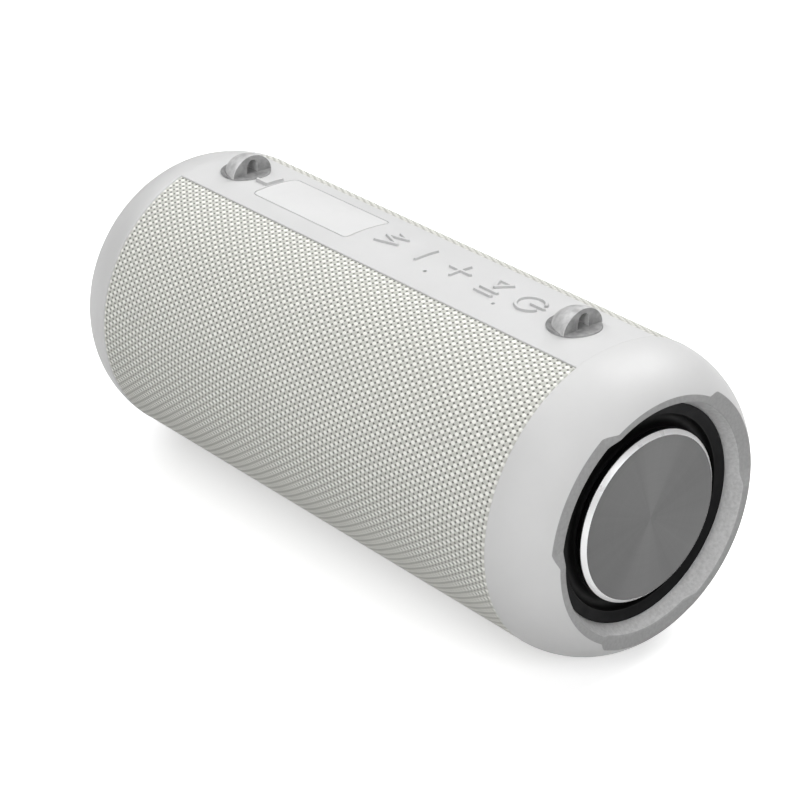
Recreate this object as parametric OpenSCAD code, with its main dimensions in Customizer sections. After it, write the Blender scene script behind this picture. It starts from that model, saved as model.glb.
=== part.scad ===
// Portable cylindrical loudspeaker, modelled as a bench teardown.
// Frame: +X along the body to the right end, -Y the front, +Z up, z = 0 under the feet.
// Build notes: every radial part is drawn about the body axis and lifted by axis_h.

/* [Body] */
// Radius of the cloth-covered body, mm
body_r = 40; // [36:0.5:44]
// Half length of the cloth, mm
cloth_half = 75; // [70:0.5:80]
// Half length of the whole body, to the rim of an end cap, mm
end_half = 91.44; // [90:0.2:91.8]
// Height of the body axis above the surface it stands on, mm
axis_h = 41; // [40.6:0.1:42]
// Half width of the top and bottom strips, degrees
strip_half = 18.8; // [16:0.2:22]
// How much the top strip is flatter than the round body, mm
crown_drop = 0.5; // [0.3:0.1:0.8]

/* [End cap] */
// Where the dome of a cap begins, mm from the middle
dome_x0 = 73.67; // [72:0.1:74.5]
// Where the dome would end, mm from the middle
dome_x1 = 92.18; // [92:0.02:92.6]
// Radius at which the dome would end, mm
dome_r1 = 29.76; // [28:0.1:31]
// Depth of the three shallow scallops in the cap rim, mm
scallop_depth = 1.32; // [0.5:0.1:1.8]
// Width of one scallop, degrees
scallop_w = 57; // [40:1:70]

/* [Keys] */
// Distance between keys, mm
key_pitch = 12.5; // [12:0.1:13]
// Position of the first key, mm
key_x0 = -3.4; // [-6:0.1:0]
// Radius of a key pad, mm
key_r = 5.2; // [4.8:0.1:5.4]
// How far a symbol stands up, mm
glyph_h = 0.35; // [0.2:0.05:0.5]
// Width of a symbol's strokes, mm
stroke = 0.62; // [0.5:0.02:0.8]

/* [Strap lugs] */
// Centre of the right lug, mm
lug_right_x = 61.2; // [58:0.1:63]
// Centre of the left lug, mm
lug_left_x = -63.6; // [-66:0.1:-60]
// Radius of a lug's round flange, mm
lug_r = 6.7; // [6.4:0.1:7.4]
// Width of the strap hole, mm
lug_hole_w = 3.8; // [3:0.1:4]

/* [End radiators] */
// Radius of the metal disc, mm
disc_r = 21.91; // [20:0.1:22.4]
// Plane of the disc's face, mm from the middle
disc_face = 89.03; // [88.5:0.05:89.4]

/* [Drivers] */
// Distance of a driver from the middle, mm
driver_x = 31; // [30:0.5:31]

/* [Charging bay] */
// Position of the flap along the body, mm
bay_x = 44; // [42:0.5:45]

/* [Hidden] */
$fn = 96;
e = 0.01;
crown_y = body_r * sin(strip_half);
crown_z = body_r * cos(strip_half);
crown_s = body_r - crown_drop - crown_z;
crown_r = (crown_y * crown_y + crown_s * crown_s) / (2 * crown_s);
top_z = body_r - crown_drop;
dome_n = 2.1415;
dome_m = 1.4246;
function dome_a(x) = asin(pow((x - dome_x0) / (dome_x1 - dome_x0), dome_n / 2));
function dome_pt(a) = [dome_x0 + (dome_x1 - dome_x0) * pow(sin(a), 2 / dome_n),
                       dome_r1 + (body_r - dome_r1) * pow(cos(a), 2 / dome_m)];
key_x = [for (i = [0:4]) key_x0 + key_pitch * i];
mic_x = 15.4;
led_x = 39.8;
dot_y = -6;
lug_top = top_z + 0.7;

// ---------- helpers ----------
module axis() translate([0, 0, axis_h]) children();
// revolves an (x, r) outline about the body axis
module spin_x() rotate([0, 90, 0]) rotate_extrude() rotate(90) mirror([0, 1, 0]) children();
module rod(r, x0, x1) translate([x0, 0, 0]) rotate([0, 90, 0]) cylinder(r = r, h = x1 - x0);
// prism along X over the sector from a0 to a1 degrees, measured from +Z towards the front
module wedge(a0, a1, x0, x1, r = 60) {
  n = 6;
  pts = concat([[0, 0]], [for (i = [0:n]) let(a = a0 + (a1 - a0) * i / n, q = r / cos((a1 - a0) / n / 2)) [-q * sin(a), q * cos(a)]]);
  translate([x0, 0, 0]) rotate([90, 0, 90]) linear_extrude(x1 - x0) polygon(pts);
}
module shell_arc(r0, r1, a0, a1, x0, x1) intersection() {
  difference() { rod(r1, x0, x1); rod(r0, x0 - 1, x1 + 1); }
  wedge(a0, a1, x0 - 1, x1 + 1);
}
module crown(lift = 0) translate([0, 0, top_z - crown_r]) rod(crown_r + lift, -100, 100, $fn = 480);
module rrect(w, h, r) {
  square([w - 2 * r, h], center = true);
  square([w, h - 2 * r], center = true);
  for (x = [-1, 1], y = [-1, 1]) translate([x * (w / 2 - r), y * (h / 2 - r)]) circle(r);
}
module slot2(l, w) { square([l - w, w], center = true); for (x = [-1, 1]) translate([x * (l - w) / 2, 0]) circle(w / 2); }
module bar2(p, q, w) {
  d = q - p;
  translate((p + q) / 2) rotate(atan2(d[1], d[0])) slot2(norm(d) + w, w);
}
module both_ends() { children(); mirror([1, 0, 0]) children(); }

// ---------- end caps ----------
module cap_right() {
  a0 = dome_a(cloth_half);
  a1 = dome_a(end_half);
  dome = [for (i = [0:18]) dome_pt(a0 + (a1 - a0) * i / 18)];
  rim_r = dome[18][1];
  axis() intersection() {
    difference() {
      spin_x() polygon(concat(dome, [
        [end_half, 29.7], [86.8, 27.85], [84, 27.85], [84, 30.2], [87.6, 30.6], [86.9, 32.4], [85, 34.2],
        [82.4, 35.5], [79, 35.1], [66, 35.1], [66, 36.5], [cloth_half, 36.5]]));
      for (k = [0:2]) wedge(60 + 120 * k - scallop_w / 2, 60 + 120 * k + scallop_w / 2, end_half - scallop_depth, end_half + 2);
      wedge(-strip_half - 1.2, strip_half + 1.2, 60, cloth_half);
      wedge(180 - strip_half - 1.2, 180 + strip_half + 1.2, 60, cloth_half);
    }
    crown();
  }
}
module end_cap_right() color("white") cap_right();
module end_cap_left() color("white") mirror([1, 0, 0]) cap_right();

// ---------- top strip and keys ----------
module glyph_mode() for (s = [[[-1.2, 3.7], [3.0, 2.3]], [[3.0, 2.3], [-3.0, 0.7]], [[-3.0, 0.7], [3.2, -1.5]], [[3.2, -1.5], [-3.1, -3.3]]]) bar2(s[0], s[1], stroke);
module glyph_minus() bar2([0, 3.6], [0, -3.6], stroke);
module glyph_plus() { bar2([0, 3.4], [0, -3.4], stroke); bar2([3.5, 0], [-3.5, 0], stroke); }
module glyph_play() {
  bar2([3, -4.2], [-2.6, -4.2], stroke);
  bar2([3, -2.2], [-2.6, -2.2], stroke);
  bar2([-2.4, 3.7], [2.4, 3.7], stroke);
  bar2([2.4, 3.7], [0, -0.1], stroke);
  bar2([-2.4, 3.7], [0, -0.1], stroke);
}
module glyph_power() {
  difference() {
    circle(3.75 + stroke / 2);
    circle(3.75 - stroke / 2);
    polygon([[0, 0], [6, 3.4], [6, -3.4]]);
  }
  bar2([0.2, 0], [4.3, 0], stroke);
}
module glyph(i) {
  if (i == 0) glyph_mode();
  if (i == 1) glyph_minus();
  if (i == 2) glyph_plus();
  if (i == 3) glyph_play();
  if (i == 4) glyph_power();
}
module key(i) axis() {
  difference() {
    intersection() {
      translate([key_x[i], 0, 30]) cylinder(r = key_r, h = 12);
      crown();
      translate([0, 0, 35.2 + 50]) cube([400, 400, 100], center = true);
    }
  }
  translate([key_x[i], 0, 35.2]) cylinder(r = key_r + 0.7, h = 0.5);
  translate([key_x[i], 0, 34.6]) cylinder(r = 1.7, h = 0.7);
  intersection() {
    translate([key_x[i], 0, 37]) linear_extrude(5) intersection() { glyph(i); circle(key_r - 0.05); }
    crown(glyph_h);
  }
}
module plunger(i) axis() translate([key_x[i], 0, 32.9]) cylinder(r = 1.6, h = 1.7);
module key_mode() color("white") key(0);
module key_minus() color("white") key(1);
module key_plus() color("white") key(2);
module key_play() color("white") key(3);
module key_power() color("white") key(4);
module plunger_mode() color("dimgray") plunger(0);
module plunger_minus() color("dimgray") plunger(1);
module plunger_plus() color("dimgray") plunger(2);
module plunger_play() color("dimgray") plunger(3);
module plunger_power() color("dimgray") plunger(4);

module switch_bodies() color("silver") axis() for (x = key_x) translate([x, 0, 31.8]) difference() {
  translate([-3, -3, 0]) cube([6, 6, 2]);
  translate([0, 0, 0.5]) cylinder(r = 1.66, h = 3);
}
module key_board() color("darkgreen") axis() difference() {
  translate([-9, -9, 30.6]) cube([63, 18, 1.2]);
  for (x = [-6, 51], y = [-6.5, 6.5]) translate([x, y, 30]) cylinder(r = 1.1, h = 3);
}
module microphone() color("gold") axis() translate([mic_x, dot_y, 31.8]) cylinder(r = 1.6, h = 1.2);
module led_light_pipe() color("whitesmoke") axis() {
  intersection() { translate([led_x, dot_y, 33]) cylinder(r = 0.45, h = 8); crown(-0.15); }
  translate([led_x, dot_y, 32.4]) cylinder(r = 1.2, h = 0.8);
}
module tick_mark() {
  bar2([-55.9, -1.9], [-52.2, -1.9], stroke);
  bar2([-52.2, -1.9], [-52.2, 3.2], stroke);
}
module control_strip() color("white") axis() {
  difference() {
    intersection() {
      shell_arc(36.6, body_r, -strip_half, strip_half, -cloth_half, cloth_half);
      crown();
    }
    for (x = key_x) translate([x, 0, 30]) cylinder(r = key_r + 0.05, h = 12);
    translate([-32.1, 0, top_z - 1.6]) linear_extrude(4) rrect(38.2, 15.1, 1.6);
    translate([mic_x, dot_y, 30]) cylinder(r = 0.45, h = 12);
    translate([led_x, dot_y, 30]) cylinder(r = 0.5, h = 12);
    for (x = [lug_right_x, lug_left_x]) translate([x, 0, 0]) {
      translate([0, 0, 38.7]) cylinder(r = lug_r + 0.04, h = 4);
      translate([0, 0, 30]) cylinder(r = 3.05, h = 12);
    }
  }
  intersection() { translate([0, 0, 38]) linear_extrude(5) tick_mark(); crown(glyph_h); }
}
module top_inlay() color("white") axis() intersection() {
  translate([-32.1, 0, top_z - 1.6]) linear_extrude(4) rrect(38.0, 14.9, 1.5);
  crown();
}

// ---------- strap lugs ----------
// a half dome with a flat face, standing on a round flange
module lug() {
  half = [for (i = [0:16]) let(a = 90 * i / 16) [5.85 * cos(a), 7.4 * sin(a)]];
  difference() {
    union() {
      translate([0, 0, 38.7]) cylinder(r = lug_r, h = lug_top - 38.7);
      translate([0, 0, 36.4]) cylinder(r = 3, h = 3);
      intersection() {
        translate([2.6, 0, top_z]) rotate([0, -90, 0]) rotate_extrude() polygon(concat(half, [[0, 0]]));
        translate([-8, -10, lug_top - e]) cube([16, 20, 20]);
      }
    }
    translate([-8, 0, lug_top]) rotate([90, 0, 90]) linear_extrude(16) {
      translate([0, 3.6 - lug_hole_w / 2]) circle(lug_hole_w / 2);
      translate([-lug_hole_w / 2, 0]) square([lug_hole_w, 3.6 - lug_hole_w / 2]);
    }
    translate([0, 0, 36]) cylinder(r = 1.5, h = 3.7);
  }
}
module strap_lug_right() color("darkgray") axis() translate([lug_right_x, 0, 0]) lug();
module strap_lug_left() color("darkgray") axis() translate([lug_left_x, 0, 0]) lug();
module lug_screws() color("silver") axis() for (x = [lug_right_x, lug_left_x]) translate([x, 0, 0]) {
  translate([0, 0, 36]) cylinder(r = 1.45, h = 3.6);
  difference() {
    translate([0, 0, 34.3]) cylinder(r = 3.4, h = 1.8);
    translate([0, 0, 34.2]) cylinder(r = 1.2, h = 1, $fn = 6);
  }
}

// ---------- bottom strip and feet ----------
module foot_places() for (x = [-52, 52], y = [-8.4, 8.4]) translate([x, y, 0]) children();
module base_strip() color("white") difference() {
  axis() shell_arc(36.6, body_r, 180 - strip_half, 180 + strip_half, -cloth_half, cloth_half);
  foot_places() translate([0, 0, -1]) linear_extrude(4) slot2(24.1, 6.1);
}
module rubber_feet() color("gray") foot_places() linear_extrude(3) slot2(24, 6);

// ---------- grille ----------
module bay_hole(g) axis() translate([bay_x, 20, -0.2]) rotate([-90, 0, 0]) linear_extrude(40) rrect(38 + 2 * g, 17.4 + 2 * g, 2);
module cloth() axis() shell_arc(39.22, body_r, strip_half + 0.08, 180 - strip_half - 0.08, -cloth_half + 0.05, cloth_half - 0.05);
module frame_half() axis() difference() {
  shell_arc(37.4, 39.2, strip_half + 0.2, 180 - strip_half - 0.2, -cloth_half + 0.05, cloth_half - 0.05);
  for (s = [-1, 1], i = [-4:4]) translate([s * driver_x - 17, -45, i * 5 - 1.3]) cube([34, 20, 2.6]);
}
module grille_cloth_front() color("lightgray") cloth();
module grille_cloth_rear() color("lightgray") difference() { mirror([0, 1, 0]) cloth(); bay_hole(0.06); }
module grille_frame_front() color("dimgray") frame_half();
module grille_frame_rear() color("dimgray") axis() difference() {
  shell_arc(37.4, 39.2, -180 + strip_half + 0.2, -strip_half - 0.2, -cloth_half + 0.05, cloth_half - 0.05);
  translate([0, 0, -axis_h]) bay_hole(0.06);
}

// ---------- enclosure ----------
module tube_body() difference() {
  intersection() { rod(35, -68, 68); translate([0, 0, -21]) cube([200, 200, 100], center = true); }
  intersection() { rod(32.8, -69, 69); translate([0, 0, -23]) cube([200, 200, 100], center = true); }
}
module boss(y, z) for (s = [-1, 1]) translate([s == 1 ? 56 : -68, y, z]) rotate([0, 90, 0]) cylinder(r = 3, h = 12);
module boss_hole(y, z) for (s = [-1, 1]) translate([s == 1 ? 57 : -69, y, z]) rotate([0, 90, 0]) cylinder(r = 1, h = 12);
module standoffs(y) for (x = [-6, 51]) translate([x, y, 28.5]) cylinder(r = 2, h = 2.1);
module enclosure_front() color("dimgray") axis() difference() {
  union() {
    intersection() { tube_body(); translate([-100, -50, -50]) cube([200, 50, 100]); }
    intersection() { rod(33.4, -62, 62); translate([-62, -24.5, -40]) cube([124, 2.5, 67.5]); }
    for (z = [-21.2, 21.2]) boss(-21.2, z);
    standoffs(-6.5);
  }
  for (s = [-1, 1]) translate([s * driver_x, 0, 0]) rotate([90, 0, 0]) {
    translate([0, 0, 24.5]) cylinder(r = 25.2, h = 20);
    translate([0, 0, 15]) cylinder(r = 19.85, h = 20);
    for (a = [45:90:315]) rotate(a) translate([23.2, 0, 20]) cylinder(r = 0.85, h = 10);
  }
  for (z = [-21.2, 21.2]) boss_hole(-21.2, z);
}
module enclosure_rear() color("dimgray") axis() difference() {
  union() {
    intersection() { tube_body(); translate([-100, 0, -50]) cube([200, 50, 100]); }
    for (z = [-21.2, 21.2]) boss(21.2, z);
    standoffs(6.5);
  }
  translate([0, 0, -axis_h]) bay_hole(0.06);
  for (z = [-21.2, 21.2]) boss_hole(21.2, z);
}

// ---------- passive radiators ----------
module rad_frame() axis() difference() {
  intersection() {
    spin_x() polygon([[86.8, 27.8], [86, 25.1], [85, 25.1], [85, 26.4], [68, 26.4], [68, 35], [70, 35], [70, 27.8]]);
    union() { translate([0, 0, -21]) cube([200, 200, 100], center = true); rod(28.5, 60, 90); }
  }
  for (a = [45:90:315]) rotate([a, 0, 0]) translate([60, 0, 29.981]) rotate([0, 90, 0]) cylinder(r = 1.4, h = 20);
}
module rad_surround() axis() spin_x() {
  difference() {
    translate([85.2, 23.5]) circle(1.6);
    translate([85.2, 23.5]) circle(0.9);
    translate([85.2, 20]) square([4, 7]);
  }
  translate([84.2, 24.9]) square([0.78, 1.45]);
  translate([85.38, 0]) square([0.8, 22.4]);
  translate([85.0, 21.9]) square([1.18, 0.7]);
}
module rad_disc() axis() spin_x() polygon([[86.2, 0], [86.2, 21.2], [86.9, disc_r], [88.1, disc_r], [disc_face, 20.82], [disc_face, 0]]);
module rad_weight() axis() spin_x() polygon([[80.4, 0], [80.4, 13.4], [81, 14], [85.36, 14], [85.36, 0]]);
module radiator_frame_right() color("black") rad_frame();
module radiator_frame_left() color("black") mirror([1, 0, 0]) rad_frame();
module radiator_surround_right() color("black") rad_surround();
module radiator_surround_left() color("black") mirror([1, 0, 0]) rad_surround();
module radiator_disc_right() color("silver") rad_disc();
module radiator_disc_left() color("silver") mirror([1, 0, 0]) rad_disc();
module radiator_weight_right() color("gray") rad_weight();
module radiator_weight_left() color("gray") mirror([1, 0, 0]) rad_weight();
module frame_screws() color("silver") axis() both_ends() for (a = [45:90:315]) rotate([a, 0, 0]) translate([0, 0, 29.981]) {
  rod(0.95, 60, 70.1);
  rod(2.2, 70, 71.4);
}

// ---------- active drivers, axis along -Y ----------
module at_driver(s) axis() translate([s * driver_x, 0, 0]) rotate([90, 0, 0]) children();
module basket() difference() {
  rotate_extrude() polygon([[8.2, 10.8], [14.5, 10.8], [19.7, 24.5], [25, 24.5], [25, 26.1], [20.75, 26.1],
    [20.75, 25.1], [18.9, 25.1], [13.6, 12], [8.2, 12]]);
  for (a = [0:90:270]) rotate(a) translate([12, -4, 13.5]) cube([14, 8, 8]);
  for (a = [45:90:315]) rotate(a) translate([23.2, 0, 20]) cylinder(r = 1.2, h = 10);
}
module cone_part() rotate_extrude() polygon([[0, 20.1], [3, 19.8], [6, 19], [8.8, 17.9], [17.6, 25.3], [17.6, 24.6], [7.15, 15.6], [7.15, 17.45], [0, 17.45]]);
module roll_part() rotate_extrude() {
  difference() {
    translate([19.1, 25.9]) circle(1.48);
    translate([19.1, 25.9]) circle(0.98);
    translate([15, 22.9]) square([8, 3]);
  }
  translate([17.62, 24.6]) square([0.48, 1.4]);
  translate([20.2, 26.12]) square([1.1, 0.48]);
}
module coil_part() rotate_extrude() { translate([6.6, 5.5]) square([0.5, 11.9]); translate([7.0, 6.5]) square([0.45, 4]); }
module driver_basket_right() color("black") at_driver(1) basket();
module driver_basket_left() color("black") at_driver(-1) basket();
module driver_top_plates() color("silver") for (s = [-1, 1]) at_driver(s) rotate_extrude() translate([7.7, 7.8]) square([7.3, 3]);
module driver_magnets() color("dimgray") for (s = [-1, 1]) at_driver(s) rotate_extrude() translate([9, 1.8]) square([7, 6]);
module driver_yokes() color("silver") for (s = [-1, 1]) at_driver(s) rotate_extrude() { translate([0, -1.2]) square([15, 3]); square([6.2, 10.8]); }
module driver_cone_right() color("dimgray") at_driver(1) cone_part();
module driver_cone_left() color("dimgray") at_driver(-1) cone_part();
module driver_surround_right() color("black") at_driver(1) roll_part();
module driver_surround_left() color("black") at_driver(-1) roll_part();
module voice_coil_right() color("chocolate") at_driver(1) coil_part();
module voice_coil_left() color("chocolate") at_driver(-1) coil_part();
module driver_screws() color("silver") for (s = [-1, 1]) at_driver(s) for (a = [45:90:315]) rotate(a) translate([23.2, 0, 0]) {
  translate([0, 0, 21.5]) cylinder(r = 0.8, h = 5);
  translate([0, 0, 26.1]) cylinder(r = 1.8, h = 1.1);
}

// ---------- battery and boards ----------
module cells(r) for (z = [-10, 10]) translate([0, 14.5, z]) rod(r, -33, 33);
module battery_cells() color("steelblue") axis() cells(9.2);
module battery_cradle() color("dimgray") axis() difference() {
  union() {
    translate([-30, 17, -18.5]) cube([60, 9.4, 37]);
    for (x = [-30, 26]) intersection() { rod(32.7, x, x + 4); translate([x - 1, 15, -20.5]) cube([6, 30, 41]); }
  }
  cells(9.26);
  translate([-21, 26.5, -14.1]) cube([100, 1.8, 28.2]);
  translate([-40, 28, -10]) cube([80, 10, 20]);
  translate([-24, 10, -0.75]) cube([48, 30, 1.5]);
}
module main_board() color("darkgreen") axis() {
  translate([-20, 26.6, -14]) cube([81, 1.6, 28]);
  translate([-8, 28.1, -5]) cube([10, 1.1, 10]);
  translate([8, 28.1, -8]) cube([7, 0.9, 7]);
  translate([12, 28.1, 3]) cube([6, 2.2, 6]);
  translate([-18, 28.1, 4]) cube([6, 2, 6]);
}

// ---------- charging bay ----------
hinge_y = 38.6;
hinge_z = -5.9;
module port_bezel() color("white") axis() difference() {
  intersection() {
    translate([bay_x, 33, -0.2]) rotate([-90, 0, 0]) linear_extrude(10) rrect(38, 17.4, 2);
    rod(body_r, 0, 90);
  }
  translate([bay_x, 36.4, -0.3]) rotate([-90, 0, 0]) linear_extrude(10) rrect(34.4, 13.9, 1.2);
  translate([bay_x - 8, 30, -0.3]) rotate([-90, 0, 0]) linear_extrude(10) slot2(9.2, 3.4);
  translate([bay_x + 8, 30, -0.3]) rotate([-90, 0, 0]) cylinder(r = 3.05, h = 10);
  translate([0, hinge_y, hinge_z]) rod(0.52, bay_x - 18.2, bay_x + 18.2);
}
module port_flap() color("lightgray") axis() difference() {
  union() {
    intersection() {
      translate([bay_x, 37.6, 0.6]) rotate([-90, 0, 0]) linear_extrude(10) rrect(33.8, 11.6, 1);
      rod(body_r, 0, 90);
    }
    translate([0, hinge_y, hinge_z]) rod(1.1, bay_x - 14, bay_x + 14);
  }
  translate([0, hinge_y, hinge_z]) rod(0.55, bay_x - 30, bay_x + 30);
}
module flap_pin() color("silver") axis() translate([0, hinge_y, hinge_z]) rod(0.5, bay_x - 18.1, bay_x + 18.1);
module usb_c_socket() color("silver") axis() translate([bay_x - 8, 28.25, -0.3]) rotate([-90, 0, 0]) {
  linear_extrude(8.1) difference() { slot2(8.94, 3.16); slot2(8.34, 2.56); }
  linear_extrude(1) slot2(8.94, 3.16);
  translate([-3.1, -0.35, 0]) cube([6.2, 0.7, 7.4]);
}
module aux_jack() color("black") axis() translate([bay_x + 8, 28.25, -0.3]) rotate([-90, 0, 0]) difference() {
  union() { cylinder(r = 3, h = 8.1); translate([-3.2, -3.2, 0]) cube([6.4, 6.4, 4.6]); }
  translate([0, 0, 1]) cylinder(r = 1.78, h = 10);
}

end_cap_right();
end_cap_left();
control_strip();
base_strip();
rubber_feet();
grille_cloth_front();
grille_cloth_rear();
grille_frame_front();
grille_frame_rear();
strap_lug_right();
strap_lug_left();
lug_screws();
top_inlay();
key_mode();
key_minus();
key_plus();
key_play();
key_power();
plunger_mode();
plunger_minus();
plunger_plus();
plunger_play();
plunger_power();
switch_bodies();
key_board();
microphone();
led_light_pipe();
enclosure_front();
enclosure_rear();
radiator_frame_right();
radiator_frame_left();
radiator_surround_right();
radiator_surround_left();
radiator_disc_right();
radiator_disc_left();
radiator_weight_right();
radiator_weight_left();
frame_screws();
driver_basket_right();
driver_basket_left();
driver_top_plates();
driver_magnets();
driver_yokes();
driver_cone_right();
driver_cone_left();
driver_surround_right();
driver_surround_left();
voice_coil_right();
voice_coil_left();
driver_screws();
battery_cells();
battery_cradle();
main_board();
port_bezel();
port_flap();
flap_pin();
usb_c_socket();
aux_jack();
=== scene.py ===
import bpy, math
import numpy as np
from mathutils import Vector, Matrix


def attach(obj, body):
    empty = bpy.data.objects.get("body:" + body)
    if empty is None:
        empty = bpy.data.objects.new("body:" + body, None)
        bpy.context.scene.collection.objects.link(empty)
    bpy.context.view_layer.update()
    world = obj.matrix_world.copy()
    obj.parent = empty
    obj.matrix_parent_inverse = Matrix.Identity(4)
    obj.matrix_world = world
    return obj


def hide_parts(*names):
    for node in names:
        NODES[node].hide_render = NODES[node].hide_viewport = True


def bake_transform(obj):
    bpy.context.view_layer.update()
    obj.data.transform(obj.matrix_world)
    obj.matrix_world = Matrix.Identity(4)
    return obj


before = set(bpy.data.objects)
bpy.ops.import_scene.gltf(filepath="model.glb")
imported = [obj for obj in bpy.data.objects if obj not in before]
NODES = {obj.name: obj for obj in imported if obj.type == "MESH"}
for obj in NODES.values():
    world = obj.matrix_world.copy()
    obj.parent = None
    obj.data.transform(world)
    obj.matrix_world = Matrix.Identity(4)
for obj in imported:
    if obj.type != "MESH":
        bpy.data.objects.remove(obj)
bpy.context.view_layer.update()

scene = bpy.context.scene

# ------------------------------------------------------------------ camera
cam_data = bpy.data.cameras.new("camera")
cam = bpy.data.objects.new("camera", cam_data)
scene.collection.objects.link(cam)
cam_data.lens = 111.629
cam_data.sensor_width = 36.0
cam_data.clip_start, cam_data.clip_end = 0.01, 50.0
_r = Vector((0.65534, 0.75521, 0.01380)).normalized()
_b = Vector((0.66940, -0.58916, 0.45254)).normalized()
_u = _b.cross(_r).normalized()
_r = _u.cross(_b).normalized()
cam.matrix_world = Matrix(((_r.x, _u.x, _b.x, 0.427786), (_r.y, _u.y, _b.y, -0.376421), (_r.z, _u.z, _b.z, 0.326040), (0, 0, 0, 1)))
scene.camera = cam

# ------------------------------------------------------------------ sizes, mm, about the body axis
AX = 41.0
RB = 40.0
HALF = 75.0
STRIP = math.radians(18.8)
TOPZ = 39.5
_cy, _cz = RB * math.sin(STRIP), RB * math.cos(STRIP)
_cs = TOPZ - _cz
RC = (_cy * _cy + _cs * _cs) / (2 * _cs)
ZC = TOPZ - RC


def crown_z(y):
    return ZC + np.sqrt(RC * RC - np.asarray(y, float) ** 2)


def crown_rho(phi):
    """Polar radius of the flatter top strip at an angle from +Z."""
    return ZC * np.cos(phi) + np.sqrt(RC * RC - (ZC * np.sin(phi)) ** 2)


def smooth(a, b, x):
    t = np.clip((np.asarray(x, float) - a) / (b - a), 0, 1)
    return t * t * (3 - 2 * t)


# ------------------------------------------------------------------ mesh helpers
def build(name, verts, faces, mat, body="housing", smooth_shade=True, uv=None, hard=None):
    """verts in mm about the body axis; faces is a list of integer arrays, each of quads or of triangles."""
    V = np.asarray(verts, float).reshape(-1, 3) + (0, 0, AX)
    me = bpy.data.meshes.new(name)
    faces = [np.asarray(f, np.int64) for f in faces if len(f)]
    # outward: the signed volume of a closed shell is positive
    vol = 0.0
    for f in faces:
        for k in range(1, f.shape[1] - 1):
            vol += np.einsum("ij,ij->i", V[f[:, 0]], np.cross(V[f[:, k]], V[f[:, k + 1]])).sum()
    if vol < 0:
        faces = [f[:, ::-1] for f in faces]
    loops = np.concatenate([f.reshape(-1) for f in faces])
    sizes = np.concatenate([np.full(len(f), f.shape[1]) for f in faces])
    starts = np.concatenate([[0], np.cumsum(sizes)[:-1]])
    me.vertices.add(len(V))
    me.vertices.foreach_set("co", (V * 0.001).astype(np.float32).reshape(-1))
    me.loops.add(len(loops))
    me.loops.foreach_set("vertex_index", loops.astype(np.int32))
    me.polygons.add(len(sizes))
    me.polygons.foreach_set("loop_start", starts.astype(np.int32))
    me.update(calc_edges=True)
    if uv is not None:
        layer = me.uv_layers.new(name="UVMap")
        layer.data.foreach_set("uv", np.asarray(uv, np.float32)[loops].reshape(-1))
    me.validate()
    me.polygons.foreach_set("use_smooth", np.full(len(me.polygons), bool(smooth_shade)))
    if hard is not None:
        try:
            me.set_sharp_from_angle(angle=math.radians(hard))
        except Exception:
            pass
    ob = bpy.data.objects.new(name, me)
    scene.collection.objects.link(ob)
    me.materials.append(mat)
    if body:
        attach(ob, body)
    return ob


def slab(name, top, bot, mat, mask=None, uv=None, body="housing", hard=None):
    """A closed sheet between two grids of points, with the cells where mask is False left out."""
    nu, nv = top.shape[:2]
    if mask is None:
        mask = np.ones((nu - 1, nv - 1), bool)
    idx = np.arange(nu * nv).reshape(nu, nv)
    a, b, c, d = idx[:-1, :-1], idx[1:, :-1], idx[1:, 1:], idx[:-1, 1:]
    N = nu * nv
    q = np.stack([a, b, c, d], -1)[mask]
    faces = [q, q[:, ::-1] + N]
    pad = np.zeros((nu + 1, nv + 1), bool)
    pad[1:-1, 1:-1] = mask
    # walls wherever a kept cell meets a missing one
    for axis in (0, 1):
        if axis == 0:
            left, right = pad[:-1, 1:-1], pad[1:, 1:-1]
            p, r = idx[:, :-1], idx[:, 1:]
        else:
            left, right = pad[1:-1, :-1], pad[1:-1, 1:]
            p, r = idx[:-1, :], idx[1:, :]
        e1 = left & ~right
        e2 = right & ~left
        if axis == 0:
            faces.append(np.stack([p[e1], r[e1], r[e1] + N, p[e1] + N], -1)[:, ::-1])
            faces.append(np.stack([p[e2], r[e2], r[e2] + N, p[e2] + N], -1))
        else:
            faces.append(np.stack([p[e1], r[e1], r[e1] + N, p[e1] + N], -1))
            faces.append(np.stack([p[e2], r[e2], r[e2] + N, p[e2] + N], -1)[:, ::-1])
    V = np.concatenate([top.reshape(-1, 3), bot.reshape(-1, 3)])
    U = None if uv is None else np.concatenate([uv.reshape(-1, 2)] * 2)
    used = np.zeros(len(V), bool)
    for f in faces:
        used[f.reshape(-1)] = True
    new = np.cumsum(used) - 1
    faces = [new[f] for f in faces]
    return build(name, V[used], faces, mat, body=body, uv=None if U is None else U[used], hard=hard)


def lathe(name, prof, mat, body="housing", n=256, place=None, hard=35):
    """Closed outline of (x, r) points turned about the X axis; a run that touches r = 0 closes there."""
    ph = np.arange(n) * 2 * math.pi / n
    verts, rows = [], []
    for x, r in prof:
        if r < 1e-9:
            rows.append(("p", len(verts)))
            verts.append((x, 0.0, 0.0))
        else:
            rows.append(("r", len(verts)))
            verts.extend(np.stack([np.full(n, x), -r * np.sin(ph), r * np.cos(ph)], -1).tolist())
    quads, tris = [], []
    j = np.arange(n)
    k = (j + 1) % n
    m = len(prof)
    for i in range(m):
        (ta, a), (tb, b) = rows[i], rows[(i + 1) % m]
        if ta == "r" and tb == "r":
            quads.append(np.stack([a + j, a + k, b + k, b + j], -1))
        elif ta == "r":
            tris.append(np.stack([a + j, a + k, np.full(n, b)], -1))
        elif tb == "r":
            tris.append(np.stack([np.full(n, a), b + k, b + j], -1))
    V = np.array(verts)
    if place is not None:
        V = place(V)
    F = []
    if quads:
        F.append(np.concatenate(quads))
    if tris:
        F.append(np.concatenate(tris))
    return build(name, V, F, mat, body=body, hard=hard)


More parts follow.
